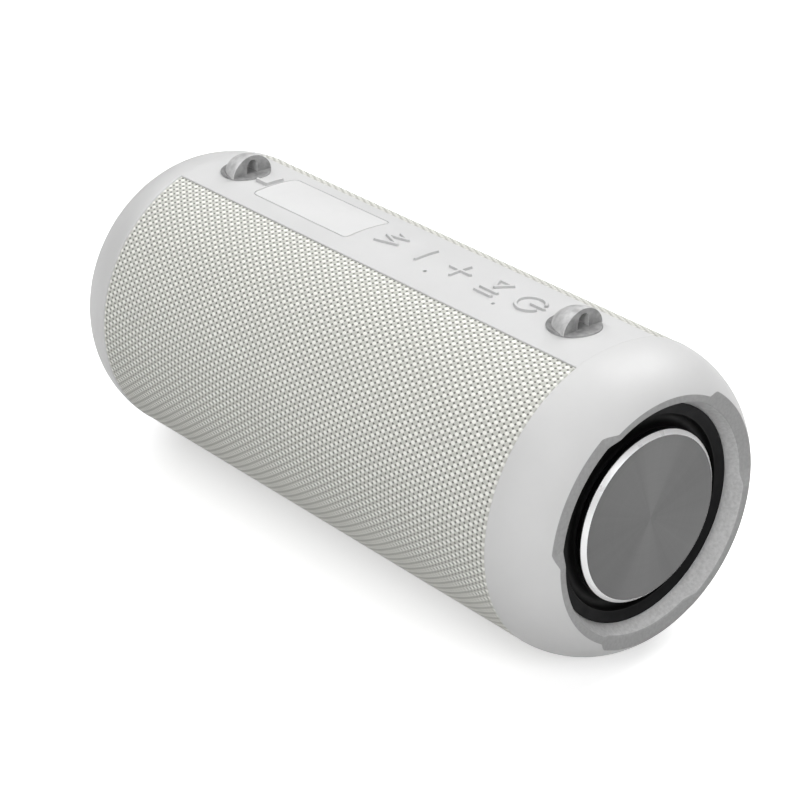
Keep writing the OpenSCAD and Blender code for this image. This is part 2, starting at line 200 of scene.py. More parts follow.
def rounded(pts, radii, seg=5):
    """Closed outline with its corners rounded; radii is one radius for each corner."""
    out = []
    P = [np.array(p, float) for p in pts]
    m = len(P)
    for i in range(m):
        a, p, b, r = P[i - 1], P[i], P[(i + 1) % m], radii[i]
        if r <= 0:
            out.append(tuple(p))
            continue
        u = (a - p) / np.linalg.norm(a - p)
        w = (b - p) / np.linalg.norm(b - p)
        ang = math.acos(max(-1, min(1, float(u @ w))))
        t = min(r / math.tan(ang / 2), 0.45 * np.linalg.norm(a - p), 0.45 * np.linalg.norm(b - p))
        r = t * math.tan(ang / 2)
        mid = (u + w) / np.linalg.norm(u + w)
        c = p + mid * (r / math.sin(ang / 2))
        s, e = p + u * t, p + w * t
        va, vb = s - c, e - c
        th = math.acos(max(-1, min(1, float(va @ vb) / (r * r))))
        for k in range(seg + 1):
            f = k / seg
            v = (math.sin((1 - f) * th) * va + math.sin(f * th) * vb) / max(math.sin(th), 1e-9)
            out.append(tuple(c + v))
    return out


# ------------------------------------------------------------------ materials
def nodes_of(name):
    m = bpy.data.materials.new(name)
    m.use_nodes = True
    nt = m.node_tree
    nt.nodes.clear()
    out = nt.nodes.new("ShaderNodeOutputMaterial")
    bsdf = nt.nodes.new("ShaderNodeBsdfPrincipled")
    nt.links.new(bsdf.outputs[0], out.inputs[0])
    return m, nt, bsdf


class G:
    """Short forms for building a node graph."""

    def __init__(self, nt):
        self.nt = nt

    def put(self, kind, **kw):
        n = self.nt.nodes.new(kind)
        for k, v in kw.items():
            setattr(n, k, v)
        return n

    def link(self, a, b):
        self.nt.links.new(a, b)

    def val(self, sock, v):
        if hasattr(v, "is_output") or isinstance(v, bpy.types.NodeSocket):
            self.link(v, sock)
        else:
            sock.default_value = v

    def math(self, op, a, b=0.0, c=0.0, clamp=False):
        n = self.put("ShaderNodeMath", operation=op, use_clamp=clamp)
        self.val(n.inputs[0], a)
        self.val(n.inputs[1], b)
        self.val(n.inputs[2], c)
        return n.outputs[0]

    def mapr(self, v, a, b, c, d, kind="LINEAR"):
        n = self.put("ShaderNodeMapRange", interpolation_type=kind)
        self.val(n.inputs[0], v)
        for i, x in zip((1, 2, 3, 4), (a, b, c, d)):
            self.val(n.inputs[i], x)
        return n.outputs[0]

    def noise(self, vec, scale, detail=4.0, rough=0.5, out=0):
        n = self.put("ShaderNodeTexNoise")
        self.val(n.inputs["Vector"], vec)
        self.val(n.inputs["Scale"], scale)
        self.val(n.inputs["Detail"], detail)
        self.val(n.inputs["Roughness"], rough)
        return n.outputs[out]

    def mix(self, f, a, b, mode="MIX"):
        n = self.put("ShaderNodeMix", data_type="RGBA", blend_type=mode)
        self.val(n.inputs[0], f)
        for i, x in ((6, a), (7, b)):
            if isinstance(x, tuple) and len(x) == 3:
                x = (*x, 1.0)
            self.val(n.inputs[i], x)
        return n.outputs[2]

    def obj(self):
        return self.put("ShaderNodeTexCoord").outputs["Object"]

    def geo(self, what):
        return self.put("ShaderNodeNewGeometry").outputs[what]

    def bump(self, h, strength, dist, base=None):
        n = self.put("ShaderNodeBump")
        n.inputs["Strength"].default_value = strength
        n.inputs["Distance"].default_value = dist
        self.link(h, n.inputs["Height"])
        if base is not None:
            self.link(base, n.inputs["Normal"])
        return n.outputs[0]


def painted_low_shade(g, o, c, amount, col):
    """Painted shade: the colour darkens towards the bottom of the body, standing in for the light that does not reach
    the lower half.
    """
    sep = g.put("ShaderNodeSeparateXYZ")
    g.link(o, sep.inputs[0])
    f = g.mapr(sep.outputs[2], 0.004, 0.044, amount, 0.0, "SMOOTHSTEP")
    return g.mix(f, c, tuple(x * 0.30 for x in col))


def shell_material(name, col, rough=0.5, var=0.03, grain=1500, grain_s=0.12, spec=0.4, coat=0.0, sheen=0.0, wear=0.06, metallic=0.0, blotch=60, hollow_shade=0.10, flank=0.0, low=0.0):
    """Moulded plastic, rubber, paint or plain metal: grain, blotches and edge wear, with painted shade in the concave
    corners, painted shade on steep flanks and painted shade towards the bottom when asked for.
    """
    m, nt, bs = nodes_of(name)
    g = G(nt)
    o = g.obj()
    big = g.noise(o, blotch, 5.0, 0.55)
    fine = g.noise(o, grain, 3.0, 0.6)
    mid = g.noise(o, grain / 6.0, 4.0, 0.6)
    point = g.geo("Pointiness")
    edge = g.mapr(point, 0.52, 0.60, 0.0, 1.0)
    hollow = g.mapr(point, 0.40, 0.48, 1.0, 0.0)
    dark = tuple(c * (1 - 2.2 * var) for c in col)
    lite = tuple(min(1.0, c * (1 + 1.2 * var)) for c in col)
    c0 = g.mix(g.mapr(big, 0.35, 0.65, 0.0, 1.0), dark, lite)
    worn = tuple(min(1.0, c * 1.08 + 0.03) for c in col)
    c1 = g.mix(g.math("MULTIPLY", g.math("MULTIPLY", edge, mid), wear * 2.0, clamp=True), c0, worn)
    # painted shade: concave places (low pointiness) are darkened, standing in for the shade in corners and creases
    hollow_shade_col = tuple(c * 0.55 for c in col)
    c2 = g.mix(g.math("MULTIPLY", g.math("MULTIPLY", hollow, g.mapr(mid, 0.3, 0.7, 0.4, 1.0)), hollow_shade, clamp=True), c1, hollow_shade_col)
    if flank:
        # painted shade: the steep sides of raised and sunk marks are darkened and stay duller than the faces, standing
        # in for the shade they get under the overhead lights
        nz = g.put("ShaderNodeSeparateXYZ")
        g.link(g.geo("True Normal"), nz.inputs[0])
        side = g.mapr(g.math("ABSOLUTE", nz.outputs[2]), 0.55, 0.88, 1.0, 0.0)
        place = g.put("ShaderNodeSeparateXYZ")
        g.link(o, place.inputs[0])
        side = g.math("MULTIPLY", side, g.mapr(g.math("ABSOLUTE", place.outputs[1]), 0.0092, 0.0100, 1.0, 0.0))
        c2 = g.mix(g.math("MULTIPLY", side, flank), c2, tuple(c * 0.42 for c in col))
    # painted shade: the colour darkens towards the bottom of the body
    if low:
        c2 = painted_low_shade(g, o, c2, low, col)
    g.link(c2, bs.inputs["Base Color"])
    r = g.math("ADD", g.mapr(mid, 0.3, 0.7, rough - 0.06, rough + 0.06), g.math("MULTIPLY", edge, -0.05))
    g.link(r, bs.inputs["Roughness"])
    bs.inputs["Metallic"].default_value = metallic
    bs.inputs["Specular IOR Level"].default_value = spec
    if coat:
        bs.inputs["Coat Weight"].default_value = coat
        bs.inputs["Coat Roughness"].default_value = 0.25
    if sheen:
        bs.inputs["Sheen Weight"].default_value = sheen
        bs.inputs["Sheen Roughness"].default_value = 0.4
    h = g.math("ADD", g.math("MULTIPLY", fine, 0.6), g.math("MULTIPLY", mid, 0.4))
    g.link(g.bump(h, grain_s, 0.00012), bs.inputs["Normal"])
    return m


def cloth_material(name, bead, base, hole):
    """Plain weave from the UV map, which counts yarns: bright yarn floats, duller yarns across them, and painted shade
    in the gaps at their corners.
    """
    m, nt, bs = nodes_of(name)
    g = G(nt)
    uv = g.put("ShaderNodeTexCoord").outputs["UV"]
    sep = g.put("ShaderNodeSeparateXYZ")
    g.link(uv, sep.inputs[0])
    o = g.obj()
    pu = g.math("MULTIPLY", sep.outputs[0], math.pi)
    pv = g.math("MULTIPLY", sep.outputs[1], math.pi)
    cu, cv = g.math("COSINE", pu), g.math("COSINE", pv)
    su, sv = g.math("SINE", pu), g.math("SINE", pv)
    check = g.math("MULTIPLY", cu, cv)
    corner = g.math("MULTIPLY", g.math("MULTIPLY", su, su), g.math("MULTIPLY", sv, sv))
    uneven = g.noise(o, 55, 4.0, 0.6)
    strand = g.noise(o, 420, 4.0, 0.65)
    fibre = g.noise(o, 2600, 3.0, 0.6)
    up = g.mapr(check, 0.02, 0.60, 0.0, 1.0, "SMOOTHSTEP")
    down = g.mapr(check, -0.75, -0.1, 1.0, 0.0, "SMOOTHSTEP")
    c0 = g.mix(up, base, bead)
    c0 = g.mix(g.math("MULTIPLY", down, 0.25), c0, tuple(x * 0.9 for x in base))
    # painted shade: the gaps at the yarn corners take the dark hole colour, standing in for the shade in the openings
    c1 = g.mix(g.mapr(corner, 0.30, 0.85, 0.0, 1.0, "SMOOTHSTEP"), c0, hole)
    c2 = g.mix(g.mapr(strand, 0.30, 0.70, 0.14, 0.0), c1, tuple(x * 0.62 for x in base))
    c3 = g.mix(g.mapr(uneven, 0.35, 0.65, 0.07, 0.0), c2, tuple(x * 0.7 for x in base))
    # painted shade: the cloth darkens a little towards the bottom
    c3 = painted_low_shade(g, o, c3, 0.06, base)
    g.link(c3, bs.inputs["Base Color"])
    g.link(g.mapr(fibre, 0.3, 0.7, 0.72, 0.92), bs.inputs["Roughness"])
    bs.inputs["Specular IOR Level"].default_value = 0.25
    bs.inputs["Sheen Weight"].default_value = 0.08
    bs.inputs["Sheen Roughness"].default_value = 0.5
    # plies of each yarn run across it
    ply_a = g.math("SINE", g.math("MULTIPLY", g.math("ADD", sep.outputs[0], g.math("MULTIPLY", sep.outputs[1], 0.35)), 6 * math.pi))
    ply_b = g.math("SINE", g.math("MULTIPLY", g.math("ADD", sep.outputs[1], g.math("MULTIPLY", sep.outputs[0], 0.35)), 6 * math.pi))
    ply = g.math("ADD", g.math("MULTIPLY", ply_a, up), g.math("MULTIPLY", ply_b, g.math("SUBTRACT", 1.0, up)))
    h = g.math("ADD", g.math("MULTIPLY", ply, 0.35), g.math("ADD", strand, fibre))
    g.link(g.bump(h, 0.35, 0.00012), bs.inputs["Normal"])
    return m


def spun_material(name, col, rough=0.33, axis="X"):
    """Metal faced on a lathe: fine rings about the axis and a soft radial sheen painted into the colour."""
    m, nt, bs = nodes_of(name)
    g = G(nt)
    o = g.obj()
    sep = g.put("ShaderNodeSeparateXYZ")
    g.link(o, sep.inputs[0])
    zc = g.math("SUBTRACT", sep.outputs[2], AX * 0.001)
    rr = g.math("SQRT", g.math("ADD", g.math("MULTIPLY", sep.outputs[1], sep.outputs[1]), g.math("MULTIPLY", zc, zc)))
    ring = g.put("ShaderNodeCombineXYZ")
    g.link(rr, ring.inputs[0])
    rings = g.noise(ring.outputs[0], 9000, 6.0, 0.75)
    wide = g.noise(ring.outputs[0], 900, 3.0, 0.5)
    blot = g.noise(o, 70, 5.0, 0.6)
    c = g.mix(g.mapr(rings, 0.3, 0.7, 0.0, 1.0), tuple(x * 0.90 for x in col), tuple(min(1, x * 1.08) for x in col))
    c = g.mix(g.mapr(blot, 0.35, 0.65, 0.10, 0.0), c, tuple(x * 0.8 for x in col))
    # painted highlight: the colour is lighter in two soft sectors at a fixed angle about the axis, standing in for the
    # light the lathe marks catch
    ang = g.math("ARCTAN2", zc, sep.outputs[1])
    spoke = g.put("ShaderNodeCombineXYZ")
    g.link(g.math("MULTIPLY", g.math("COSINE", ang), 1.0), spoke.inputs[0])
    g.link(g.math("MULTIPLY", g.math("SINE", ang), 1.0), spoke.inputs[1])
    painted_sheen = g.math("ADD", g.mapr(g.math("COSINE", g.math("MULTIPLY", g.math("SUBTRACT", ang, 1.45), 2.0)), 0.55, 1.0, 0.0, 0.14, "SMOOTHSTEP"), g.mapr(g.noise(spoke.outputs[0], 5.0, 4.0, 0.7), 0.3, 0.7, -0.05, 0.05))
    c = g.mix(g.math("ADD", painted_sheen, 0.05, clamp=True), c, tuple(min(1, x * 1.9) for x in col))
    g.link(c, bs.inputs["Base Color"])
    bs.inputs["Metallic"].default_value = 1.0
    g.link(g.mapr(wide, 0.3, 0.7, rough - 0.04, rough + 0.05), bs.inputs["Roughness"])
    bs.inputs["Anisotropic"].default_value = 0.55
    tan = g.put("ShaderNodeTangent", direction_type="RADIAL", axis=axis)
    g.link(tan.outputs[0], bs.inputs["Tangent"])
    g.link(g.bump(rings, 0.12, 0.00004), bs.inputs["Normal"])
    return m


def board_material(name):
    m, nt, bs = nodes_of(name)
    g = G(nt)
    o = g.obj()
    br = g.put("ShaderNodeTexBrick")
    br.offset = 0.3
    g.link(o, br.inputs["Vector"])
    br.inputs["Scale"].default_value = 260
    br.inputs["Color1"].default_value = (0.012, 0.10, 0.045, 1)
    br.inputs["Color2"].default_value = (0.016, 0.12, 0.052, 1)
    br.inputs["Mortar"].default_value = (0.05, 0.22, 0.10, 1)
    br.inputs["Mortar Size"].default_value = 0.03
    vo = g.put("ShaderNodeTexVoronoi")
    g.link(o, vo.inputs["Vector"])
    vo.inputs["Scale"].default_value = 420
    pads = g.mapr(vo.outputs[0], 0.10, 0.16, 1.0, 0.0)
    c = g.mix(pads, br.outputs[0], (0.62, 0.58, 0.42))
    g.link(c, bs.inputs["Base Color"])
    g.link(g.mapr(pads, 0, 1, 0.42, 0.3), bs.inputs["Roughness"])
    g.link(g.bump(br.outputs[1], 0.2, 0.0001), bs.inputs["Normal"])
    return m


def wound_material(name, col):
    """Lacquered copper wire, wound side by side."""
    m, nt, bs = nodes_of(name)
    g = G(nt)
    w = g.put("ShaderNodeTexWave", wave_type="BANDS", bands_direction="Y")
    g.link(g.obj(), w.inputs["Vector"])
    w.inputs["Scale"].default_value = 900
    w.inputs["Distortion"].default_value = 0.3
    # painted shade: the colour darkens in the bands between the turns of wire
    g.link(g.mix(w.outputs[1], tuple(x * 0.45 for x in col), col), bs.inputs["Base Color"])
    bs.inputs["Metallic"].default_value = 0.9
    bs.inputs["Roughness"].default_value = 0.32
    g.link(g.bump(w.outputs[1], 0.5, 0.0001), bs.inputs["Normal"])
    return m


CAP = (0.652, 0.652, 0.651)
# the cap's colour darkens towards the bottom (low): painted shade
M_CAP = shell_material("cap_paint", CAP, rough=0.50, var=0.010, grain=2200, grain_s=0.08, spec=0.50, coat=0.0, wear=0.05, hollow_shade=0.05, low=0.10)
M_STRIP = shell_material("strip_silicone", (0.656, 0.656, 0.656), rough=0.62, var=0.010, grain=2600, grain_s=0.14, spec=0.30, sheen=0.05, wear=0.04, hollow_shade=0.10, flank=0.38)
M_KEY = shell_material("key_silicone", (0.656, 0.656, 0.656), rough=0.62, var=0.010, grain=2600, grain_s=0.14, spec=0.30, sheen=0.05, wear=0.04, hollow_shade=0.10, flank=0.38)
M_INLAY = shell_material("inlay_silicone", (0.722, 0.722, 0.722), rough=0.55, var=0.008, grain=2600, grain_s=0.10, spec=0.32, wear=0.03, hollow_shade=0.06, flank=0.25)
# darker copies of the lug's cast metal: painted shade on the flat face, in the hole and on the flange
M_LUG_FACE_SHADED = shell_material("lug_face_shaded", (0.300, 0.300, 0.300), rough=0.50, var=0.12, grain=1100, grain_s=0.45, spec=0.40, metallic=0.10, wear=0.15, hollow_shade=0.30, blotch=420)
M_LUG_HOLE_SHADED = shell_material("lug_hole_shaded", (0.220, 0.220, 0.220), rough=0.60, var=0.12, grain=1100, grain_s=0.45, spec=0.30, metallic=0.10, wear=0.05, hollow_shade=0.30, blotch=420)
M_LUG_COLLAR_SHADED = shell_material("lug_collar_shaded", (0.300, 0.300, 0.300), rough=0.50, var=0.12, grain=1100, grain_s=0.45, spec=0.40, metallic=0.10, wear=0.15, hollow_shade=0.30, blotch=420)
M_LUG = shell_material("lug_cast_metal", (0.580, 0.580, 0.580), rough=0.45, var=0.10, grain=1100, grain_s=0.45, spec=0.45, metallic=0.10, wear=0.15, hollow_shade=0.35, blotch=420)
# a darker copy of the recess paint for the flat rim of the recess: painted shade
M_RECESS_SHADED = shell_material("recess_paint_shaded", (0.373, 0.373, 0.373), rough=0.55, var=0.04, grain=1900, grain_s=0.30, spec=0.25, wear=0.05, hollow_shade=0.08, blotch=1200)
M_RECESS = shell_material("recess_paint", (0.533, 0.533, 0.533), rough=0.50, var=0.060, grain=1900, grain_s=0.55, spec=0.30, wear=0.08, hollow_shade=0.10, blotch=1200)
# the diamond-cut ring on the disc rim is a real bright cut; its near-white, mostly diffuse colour is a painted
# highlight
M_CUT_HIGHLIGHT = shell_material("cut_ring_highlight", (1.0, 1.0, 1.0), rough=0.32, var=0.0, grain=900, grain_s=0.0, spec=1.0, metallic=0.10, hollow_shade=0.0, wear=0.0)
M_RING = shell_material("black_ring", (0.005, 0.005, 0.0055), rough=0.62, var=0.10, grain=1600, grain_s=0.25, spec=0.12)
M_ROLL = shell_material("butyl_roll", (0.003, 0.003, 0.003), rough=0.60, var=0.15, grain=1800, grain_s=0.30, spec=0.18)
M_FOOT = shell_material("foot_rubber", (0.09, 0.09, 0.092), rough=0.75, var=0.08, grain=1300, grain_s=0.45, spec=0.25)
M_DARK = shell_material("dark_abs", (0.022, 0.022, 0.024), rough=0.55, var=0.08, grain=1500, grain_s=0.35)
M_FLAP = shell_material("flap_rubber", (0.60, 0.60, 0.60), rough=0.65, var=0.03, grain=1800, grain_s=0.25, spec=0.3)
M_STEEL = shell_material("fastener_steel", (0.52, 0.52, 0.53), rough=0.30, var=0.06, grain=2600, grain_s=0.15, metallic=1.0)
M_ZINC = shell_material("zinc_plate", (0.42, 0.43, 0.44), rough=0.38, var=0.10, grain=1200, grain_s=0.20, metallic=1.0)
M_FERR = shell_material("ferrite", (0.05, 0.05, 0.05), rough=0.6, var=0.12, grain=1000, grain_s=0.4, metallic=0.2)
M_CONE = shell_material("cone_pulp", (0.035, 0.035, 0.038), rough=0.8, var=0.15, grain=900, grain_s=0.5)
M_WRAP = shell_material("cell_wrap", (0.03, 0.14, 0.34), rough=0.28, var=0.08, grain=700, grain_s=0.10, coat=0.3)
M_PIPE = shell_material("light_pipe", (0.35, 0.36, 0.36), rough=0.25, var=0.04, grain=900, grain_s=0.05)
M_GOLD = shell_material("gold_can", (0.70, 0.52, 0.22), rough=0.3, var=0.06, grain=1500, grain_s=0.1, metallic=1.0)
M_JACK = shell_material("jack_nylon", (0.02, 0.02, 0.02), rough=0.5, var=0.1, grain=1500, grain_s=0.3)
M_DISC = spun_material("spun_aluminium", (0.104, 0.104, 0.104), rough=0.36)
M_BOARD = board_material("solder_mask")
M_COIL = wound_material("copper_wire", (0.72, 0.33, 0.12))
M_CLOTH = cloth_material("grille_weave", (1.0, 0.998, 0.952), (0.66, 0.66, 0.613), (0.115, 0.115, 0.100))
# a darker copy of the front weave for the rear cloth: painted shade on the less lit back
M_CLOTH_REAR_SHADED = cloth_material("grille_weave_rear", (0.86, 0.86, 0.820), (0.57, 0.57, 0.529), (0.06, 0.06, 0.052))

# ------------------------------------------------------------------ end caps
X0, X1, R1, NE, ME = 73.67, 92.18, 29.76, 2.1415, 1.4246
LEDGE, SCALLOP = 91.44, 1.32


def dome_r(x):
    s = np.clip((np.asarray(x, float) - X0) / (X1 - X0), 0, 1)
    return R1 + (RB - R1) * (1 - s ** NE) ** (1 / ME)


def lobe(deg):
    """1 in a scallop, 0 between them, with short ramps."""
    t = (np.asarray(deg, float) % 120) - 60
    return 1 - np.clip((np.abs(t) - 25.2) / 6.6, 0, 1)


def cap(name, side, node):
    deg = set(np.round(np.arange(0, 360, 1.0), 3).tolist())
    for c in (60, 180, 300):
        for s in (-1, 1):
            deg |= set(np.round((c + s * np.arange(24.4, 32.8, 0.3)) % 360, 3).tolist())
    for c in (18.8, 341.2, 161.2, 198.8):
        deg |= set(np.round((c + np.array([-0.9, -0.45, -0.15, 0.0, 0.15, 0.45, 0.9])) % 360, 3).tolist())
    deg = np.array(sorted(deg))
    n = len(deg)
    ph = np.radians(deg)
    fold = np.minimum(deg, 360 - deg)
    w = lobe(deg)
    w = w * w * (3 - 2 * w) * 0.35 + w * 0.65
    xl = LEDGE - SCALLOP * w
    exact = np.where(fold <= 18.8, crown_rho(np.radians(np.minimum(fold, 18.8))) / RB, 1.0)
    soft = 1 - 0.0125 * np.clip(1 - (fold / 24.0) ** 2, 0, 1) ** 2
    cloth = smooth(18.6, 18.95, fold)
    cloth = cloth * (1 - smooth(161.05, 161.4, fold))
    rows = []

    def row(x, r, flat=True):
        x = np.broadcast_to(np.asarray(x, float), (n,))
        r = np.broadcast_to(np.asarray(r, float), (n,))
        if flat:
            k = smooth(75.0, 77.5, x)
            c = exact * (1 - k) + soft * k
            c = 1 - (1 - c) * (1 - smooth(76.0, 86.5, x))
            r = r * c
        rows.append(np.stack([x, -r * np.sin(ph), r * np.cos(ph)], -1))

    r75 = float(dome_r(75.0))
    g = cloth
    row(np.full(n, 75.0), 37.0)
    row(np.full(n, 75.0), 39.0)
    row(np.full(n, 75.0), r75 - 0.45 * g)
    row(75.0 + 0.06 * g, r75 - 0.22 * g)
    row(75.0 + 0.20 * g, r75 - 0.06 * g)
    row(75.0 + 0.42 * g, np.where(g > 0.5, dome_r(75.42), dome_r(75.0 + 0.42 * g)))
    # dome, evenly along its curve, up to the lip
    amax = (np.arcsin(((xl - 0.16 - X0) / (X1 - X0)) ** (NE / 2)))
    a0 = math.asin(((75.9 - X0) / (X1 - X0)) ** (NE / 2))
    M = 40
    for i in range(M + 1):
        a = a0 + (amax - a0) * (i / M)
        x = X0 + (X1 - X0) * np.sin(a) ** (2 / NE)
        r = R1 + (RB - R1) * np.cos(a) ** (2 / ME)
        row(x, r)
    rl = R1 + (RB - R1) * np.cos(amax) ** (2 / ME)
    row(xl - 0.05, rl - 0.10)
    row(xl, rl - 0.26)
    first = len(rows) - 1
    rin = 29.7 - 0.2 * w
    for t in (0.33, 0.66):
        row(xl, (rl - 0.26) * (1 - t) + (rin + 0.35) * t)
    row(xl, rin + 0.32)
    row(xl - 0.05, rin + 0.13)
    row(xl - 0.20, rin - 0.02)
    middle = len(rows) - 1
    for t in (0.12, 0.35, 0.6, 0.85):
        row((xl - 0.20) * (1 - t) + 86.8 * t, (rin - 0.02) * (1 - t) + 27.87 * t)
    row(86.8, 27.87)
    last = len(rows) - 1
    row(84.0, 27.87)
    row(84.0, 29.6)
    row(87.4, 29.4)
    row(87.2, 31.2)
    row(85.0, 34.0)
    row(82.4, 35.4)
    row(79.0, 35.1)
    row(70.0, 35.1)
    row(70.0, 36.4)
    row(74.6, 36.4)
    V = np.stack(rows)
    if side < 0:
        V[..., 0] *= -1
    m = len(V)
    idx = np.arange(m * n).reshape(m, n)
    nxt = np.roll(idx, -1, axis=1)
    up = np.roll(idx, -1, axis=0)
    upn = np.roll(nxt, -1, axis=0)
    F = np.stack([idx, nxt, upn, up], -1).reshape(-1, 4)
    ob = build(name, V, [F], M_CAP, hard=40)
    # the rim and wall of the recess are painted grey; the rim gets a darker copy of the grey, painted shade on its flat
    # face
    ob.data.materials.append(M_RECESS)
    ob.data.materials.append(M_RECESS_SHADED)
    which = np.arange(m)
    which = np.repeat(np.where((which >= first) & (which < middle), 2, np.where((which >= middle) & (which < last), 1, 0)), n).astype(np.int32)
    ob.data.polygons.foreach_set("material_index", which)
    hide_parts(node)
    return ob


cap("cap_shell_right", 1, "end_cap_right")
cap("cap_shell_left", -1, "end_cap_left")

# ------------------------------------------------------------------ cloth
PX, PC = 1.462, 1.105
BAY_X, BAY_W, BAY_H, BAY_R, BAY_Z = 44.0, 38.12, 17.52, 2.06, -0.2


def rrect_sdf(x, y, w, h, r):
    qx, qy = np.abs(x) - (w / 2 - r), np.abs(y) - (h / 2 - r)
    return np.hypot(np.maximum(qx, 0), np.maximum(qy, 0)) + np.minimum(np.maximum(qx, qy), 0) - r


def cloth(name, side, node, hole=False):
    sub = 4
    nx = int(round(2 * (HALF - 0.06) / PX * sub))
    phi0, phi1 = STRIP + math.radians(0.14), math.pi - STRIP - math.radians(0.14)
    ns = int(round(RB * (phi1 - phi0) / PC * sub))
    # grid lines on the crests and gaps of the yarns, and a few more at the tucked edges
    u = (np.arange(nx + 1) - nx // 2) / sub
    x = u * PX
    x = x[np.abs(x) < HALF - 0.5]
    edge = np.array([0.46, 0.30, 0.16, 0.06])
    x = np.concatenate([-(HALF - edge[::-1]), x, HALF - edge])
    s_mid = (phi0 + phi1) / 2
    v = (np.arange(ns + 1) - ns // 2) / sub
    s = v * PC
    half = RB * (phi1 - phi0) / 2
    s = s[np.abs(s) < half - 0.42]
    e2 = np.array([0.38, 0.24, 0.12, 0.0])
    s = np.concatenate([-(half - e2[::-1]), s, half - e2])
    XX, SS = np.meshgrid(x, s, indexing="ij")
    U, Vv = XX / PX, SS / PC
    # two sets of yarns, each rising over every other one of the other set
    ou = np.abs(U - np.round(U))
    ov = np.abs(Vv - np.round(Vv))
    bodya = np.sqrt(np.clip(1 - (ou / 0.52) ** 2, 0, 1))
    bodyb = np.sqrt(np.clip(1 - (ov / 0.52) ** 2, 0, 1))
    i, j = np.round(U), np.round(Vv)
    za = 0.10 * np.cos(math.pi * (Vv + i)) + 0.24 * bodya
    zb = -0.10 * np.cos(math.pi * (U + j)) + 0.24 * bodyb
    h = np.maximum(np.maximum(za, zb), 0.02)
    d = np.minimum(HALF - 0.06 - np.abs(XX), half - np.abs(SS))
    PH = s_mid + SS / RB
    if hole:
        hz = RB * np.cos(PH)
        dh = rrect_sdf(XX - BAY_X, hz - BAY_Z, BAY_W, BAY_H, BAY_R)
        # bring the nearest grid points onto the edge of the opening
        eps = 1e-3
        gx = (rrect_sdf(XX + eps - BAY_X, hz - BAY_Z, BAY_W, BAY_H, BAY_R) - dh) / eps
        gz = (rrect_sdf(XX - BAY_X, hz + eps - BAY_Z, BAY_W, BAY_H, BAY_R) - dh) / eps
        near = np.abs(dh) < 0.20
        XX = XX - np.where(near, gx * dh, 0)
        hz = hz - np.where(near, gz * dh, 0)
        PH = np.where(near, np.arccos(np.clip(hz / RB, -1, 1)), PH)
        dh = np.where(near, 0.0, dh)
        d = np.minimum(d, np.abs(dh))
    r = 39.50 + (h + 0.06) * smooth(0.0, 0.26, d) - 0.08 * (1 - smooth(0.0, 0.26, d))
    top = np.stack([XX, -side * r * np.sin(PH), r * np.cos(PH)], -1)
    rb = np.full_like(r, 39.24) - 0.02 * (1 - smooth(0.0, 0.5, d))
    bot = np.stack([XX, -side * rb * np.sin(PH), rb * np.cos(PH)], -1)
    mask = None
    if hole:
        inside = dh < -1e-6
        cell = (dh[:-1, :-1] + dh[1:, :-1] + dh[:-1, 1:] + dh[1:, 1:]) / 4
        mask = cell > 1e-4
    ob = slab(name, top, bot, M_CLOTH_REAR_SHADED if hole else M_CLOTH, mask=mask, uv=np.stack([XX / PX, (SS / PC)], -1))
    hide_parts(node)
    return ob


cloth("grille_weave_front", 1, "grille_cloth_front")
cloth("grille_weave_rear", -1, "grille_cloth_rear", hole=True)

# ------------------------------------------------------------------ top strip, inlay and keys
KEY_X = [-3.4, 9.1, 21.6, 34.1, 46.6]
KEYS = ["mode", "minus", "plus", "play", "power"]
MIC_X, LED_X, DOT_Y = 15.4, 39.8, -6.0
PANEL = (-32.1, 0.0, 38.1, 15.0, 1.6)
STROKE = 0.74
GLYPH_H = 0.60
KW, KH = 6.25, 5.5


def seg_sdf(x, y, a, b):
    ax, ay = a
    bx, by = b
    px, py = x - ax, y - ay
    dx, dy = bx - ax, by - ay
    t = np.clip((px * dx + py * dy) / (dx * dx + dy * dy), 0, 1)
    return np.hypot(px - dx * t, py - dy * t)


GLYPHS = {
    "mode": [((-1.2, 3.7), (3.0, 2.3)), ((3.0, 2.3), (-3.0, 0.7)), ((-3.0, 0.7), (3.2, -1.5)), ((3.2, -1.5), (-3.1, -3.3))],
    "minus": [((0, 3.6), (0, -3.6))],
    "plus": [((0, 3.4), (0, -3.4)), ((3.5, 0), (-3.5, 0))],
    "play": [((3, -4.2), (-2.6, -4.2)), ((3, -2.2), (-2.6, -2.2)), ((-2.4, 3.7), (2.4, 3.7)), ((2.4, 3.7), (0, -0.1)), ((-2.4, 3.7), (0, -0.1))],
    "power": [((0.2, 0), (4.3, 0))],
}


def glyph_sdf(kind, x, y):
    d = np.full(x.shape, 9.0)
    for a, b in GLYPHS[kind]:
        d = np.minimum(d, seg_sdf(x, y, a, b))
    if kind == "power":
        ang = np.arctan2(y, x)
        lim = math.radians(29.5)
        ring = np.abs(np.hypot(x, y) - 3.75)
        ex, ey = 3.75 * math.cos(lim), 3.75 * math.sin(lim)
        ends = np.minimum(np.hypot(x - ex, y - ey), np.hypot(x - ex, y + ey))
        d = np.minimum(d, np.where(np.abs(ang) > lim, ring, ends))
    return d - STROKE / 2


def ridge(d, h=GLYPH_H):
    """Height of a raised stroke from the distance to its edge: steep flanks, rounded shoulders."""
    t = np.clip((0.10 - d) / 0.17, 0, 1)
    return h * np.sin(t * math.pi / 2) ** 0.9


def fine(lo, hi, step):
    return np.arange(lo, hi + 1e-9, step)


def merge(*parts, tol=0.04):
    a = np.unique(np.round(np.concatenate(parts), 4))
    keep = [a[0]]
    for v in a[1:]:
        if v - keep[-1] >= tol:
            keep.append(v)
    return np.array(keep)


